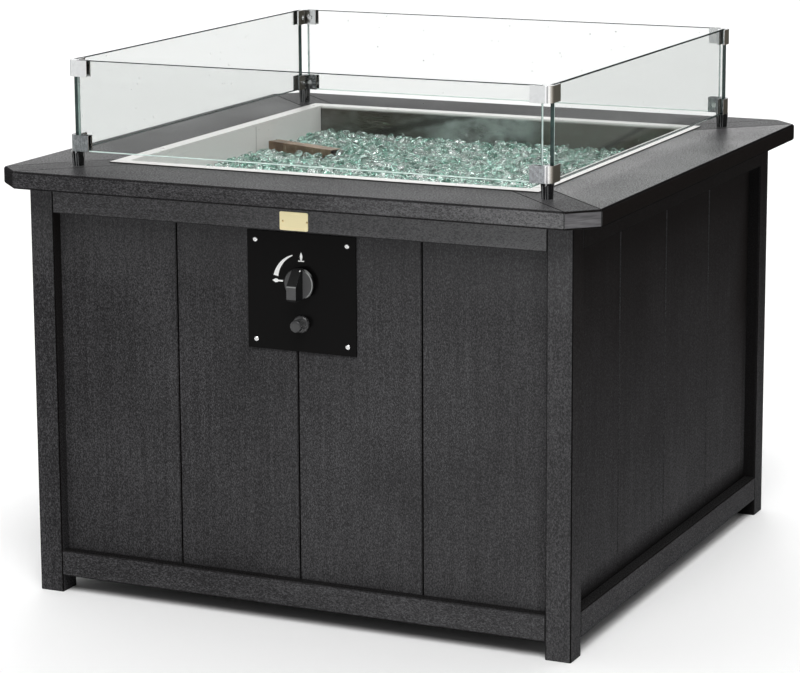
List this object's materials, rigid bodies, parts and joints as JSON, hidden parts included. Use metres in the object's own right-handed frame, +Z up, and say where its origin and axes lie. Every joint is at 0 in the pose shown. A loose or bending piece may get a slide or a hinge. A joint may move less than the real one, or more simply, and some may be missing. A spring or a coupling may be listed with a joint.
{
  "type": "fire pit table",
  "caption": "Square boarded gas fire table with a drop-in fire pan of glass stones, control knob, igniter, rear access door and a lift-off glass wind guard.",
  "frame": {"origin": "on the ground at the middle of the table", "axes": "+Z up, -Y out of the side with the controls, +X to the right as seen from there"},
  "size_m": [0.9144, 0.9144, 0.7784],
  "materials": {
    "poly_lumber": "charcoal poly lumber, fine grain",
    "stainless_sheet": "bright stainless sheet",
    "tinted_steel": "heat-tinted stainless sheet",
    "burner_steel": "stainless tube",
    "ceramic": "glazed ceramic",
    "fire_glass": "clear aqua fire glass",
    "black_plate": "semi-gloss black",
    "steel": "zinc plated",
    "valve_brass": "turned brass",
    "line_steel": "corrugated stainless line",
    "black_plastic": "black moulding",
    "igniter_metal": "plated",
    "wire_sleeve": "silicone sleeve",
    "brass_sheet": "brushed",
    "bracket_alloy": "polished",
    "clear_glass": "clear toughened"
  },
  "bodies": {
    "cabinet": {"post_front_left": "poly_lumber", "post_front_right": "poly_lumber", "post_back_left": "poly_lumber", "post_back_right": "poly_lumber", "top_rail_front": "poly_lumber", "top_rail_right": "poly_lumber", "top_rail_back": "poly_lumber", "top_rail_left": "poly_lumber", "bottom_rail_front": "poly_lumber", "bottom_rail_right": "poly_lumber", "bottom_rail_back": "poly_lumber", "bottom_rail_left": "poly_lumber", "front_boards": "poly_lumber", "right_boards": "poly_lumber", "left_boards": "poly_lumber", "shelf_runners": "poly_lumber", "shelf_slats": "poly_lumber", "table_board_front": "poly_lumber", "table_board_right": "poly_lumber", "table_board_back": "poly_lumber", "table_board_left": "poly_lumber", "corner_board_front_left": "poly_lumber", "corner_board_front_right": "poly_lumber", "corner_board_back_left": "poly_lumber", "corner_board_back_right": "poly_lumber", "fire_pan": "stainless_sheet", "burner": "burner_steel", "spark_cover": "tinted_steel", "spark_electrode": "ceramic", "stone_bed": "fire_glass", "fire_stones": "fire_glass", "control_plate": "black_plate", "plate_screws": "steel", "valve_body": "valve_brass", "gas_inlet": "valve_brass", "gas_line": "line_steel", "igniter_body": "igniter_metal", "igniter_nut": "black_plastic", "ignition_wire": "wire_sleeve", "brass_plate": "brass_sheet", "hinge_frame_leaves": "steel", "magnet_catch": "black_plastic"},
    "access_door": {"door_boards": "poly_lumber", "door_battens": "poly_lumber", "hinge_door_leaves": "steel", "door_pull": "black_plastic", "strike_plate": "steel"},
    "valve_plug": {"valve_plug": "valve_brass"},
    "control_knob": {"control_knob": "black_plastic", "valve_stem": "steel"},
    "igniter_button": {"igniter_button": "black_plastic"},
    "wind_guard": {"glass_front": "clear_glass", "glass_right": "clear_glass", "glass_back": "clear_glass", "glass_left": "clear_glass", "upper_brackets": "bracket_alloy", "lower_brackets": "bracket_alloy", "bracket_screws": "steel", "guard_feet": "black_plastic"}
  },
  "joints": [
    {"name": "door_swing", "type": "hinge", "parent": "cabinet", "child": "access_door", "pos_m": [-0.3754, 0.4015, 0.31], "axis": [0, 0, 1], "range_deg": [0, 95]},
    {"name": "knob_turn", "type": "hinge", "parent": "cabinet", "child": "valve_plug", "pos_m": [0.008, -0.38, 0.4888], "axis": [0, -1, 0], "range_deg": [0, 90]},
    {"name": "knob_push", "type": "slide", "parent": "valve_plug", "child": "control_knob", "axis": [0, 1, 0], "range_m": [0, 0.003], "stiffness_N_per_m": 800, "springref_m": -0.002},
    {"name": "igniter_push", "type": "slide", "parent": "cabinet", "child": "igniter_button", "axis": [0, 1, 0], "range_m": [0, 0.004], "stiffness_N_per_m": 1000, "springref_m": -0.003},
    {"name": "guard_lift", "type": "slide", "parent": "cabinet", "child": "wind_guard", "axis": [0, 0, 1], "range_m": [0, 0.25]}
  ]
}
